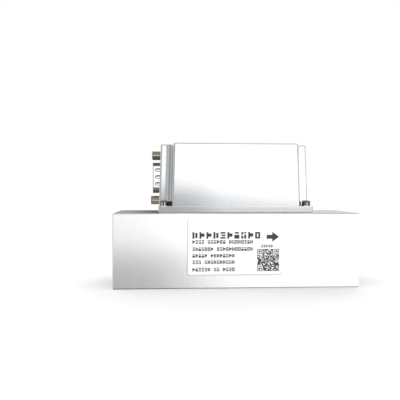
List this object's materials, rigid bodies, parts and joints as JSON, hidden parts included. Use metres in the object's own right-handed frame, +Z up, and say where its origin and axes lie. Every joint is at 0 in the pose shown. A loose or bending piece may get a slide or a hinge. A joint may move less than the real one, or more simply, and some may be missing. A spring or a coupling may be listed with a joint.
{
  "type": "gas mass flow meter",
  "caption": "Square aluminium flow body with a threaded port at each end, a die-cast electronics housing screwed on top with a D-shaped plug connector, and a label.",
  "frame": {"origin": "centre of the flow body's flat base", "axes": "+X along the flow from the inlet to the outlet, +Z up from the base to the housing, with the label face towards -Y"},
  "size_m": [0.132, 0.0402, 0.0772],
  "materials": {
    "machined_aluminium": "fine bead-blasted, bare",
    "cast_aluminium": "die-cast, bead-blasted, bare",
    "dark_steel": "black oxide",
    "stainless_steel": "plain",
    "nickel_plate": "bright nickel plating on steel",
    "nickel_brass": "nickel-plated brass",
    "gold_contact": "thin gold plating",
    "seal_rubber": "matt black",
    "gasket_rubber": "matt dark grey",
    "probe_plastic": "glass-filled, moulded",
    "honeycomb_plastic": "moulded",
    "black_plastic": "moulded",
    "circuit_board": "green solder resist",
    "silicon": "polished chip",
    "chip_package": "moulded, fine grained",
    "ferrite": "sintered",
    "can_aluminium": "drawn",
    "chip_ceramic": "fired ceramic",
    "label_film": "white printed film"
  },
  "bodies": {
    "root": {"flow_body": "machined_aluminium", "inlet_retaining_ring": "dark_steel", "inlet_screen": "stainless_steel", "screen_spacer": "machined_aluminium", "flow_straightener": "honeycomb_plastic", "settling_screen": "stainless_steel", "sensor_probe": "probe_plastic", "sensor_chip": "silicon", "probe_oring": "seal_rubber", "probe_pins": "gold_contact", "board_spacers": "nickel_brass", "sensor_board": "circuit_board", "sensor_screws": "stainless_steel", "header_base": "black_plastic", "header_pins": "gold_contact", "board_socket": "black_plastic", "main_board": "circuit_board", "processor": "chip_package", "amplifier_chips": "chip_package", "voltage_regulator": "chip_package", "power_inductor": "ferrite", "filter_capacitors": "can_aluminium", "clock_crystal": "stainless_steel", "chip_parts": "chip_ceramic", "housing": "cast_aluminium", "housing_gasket": "gasket_rubber", "housing_screws": "dark_steel", "housing_washers": "stainless_steel", "connector_shell": "nickel_plate", "connector_rear_shell": "nickel_plate", "connector_insulator": "black_plastic", "connector_pins": "gold_contact", "jackscrews": "nickel_brass", "jackscrew_washers": "nickel_plate", "jackscrew_nuts": "nickel_plate", "rating_label": "label_film"}
  },
  "joints": []
}
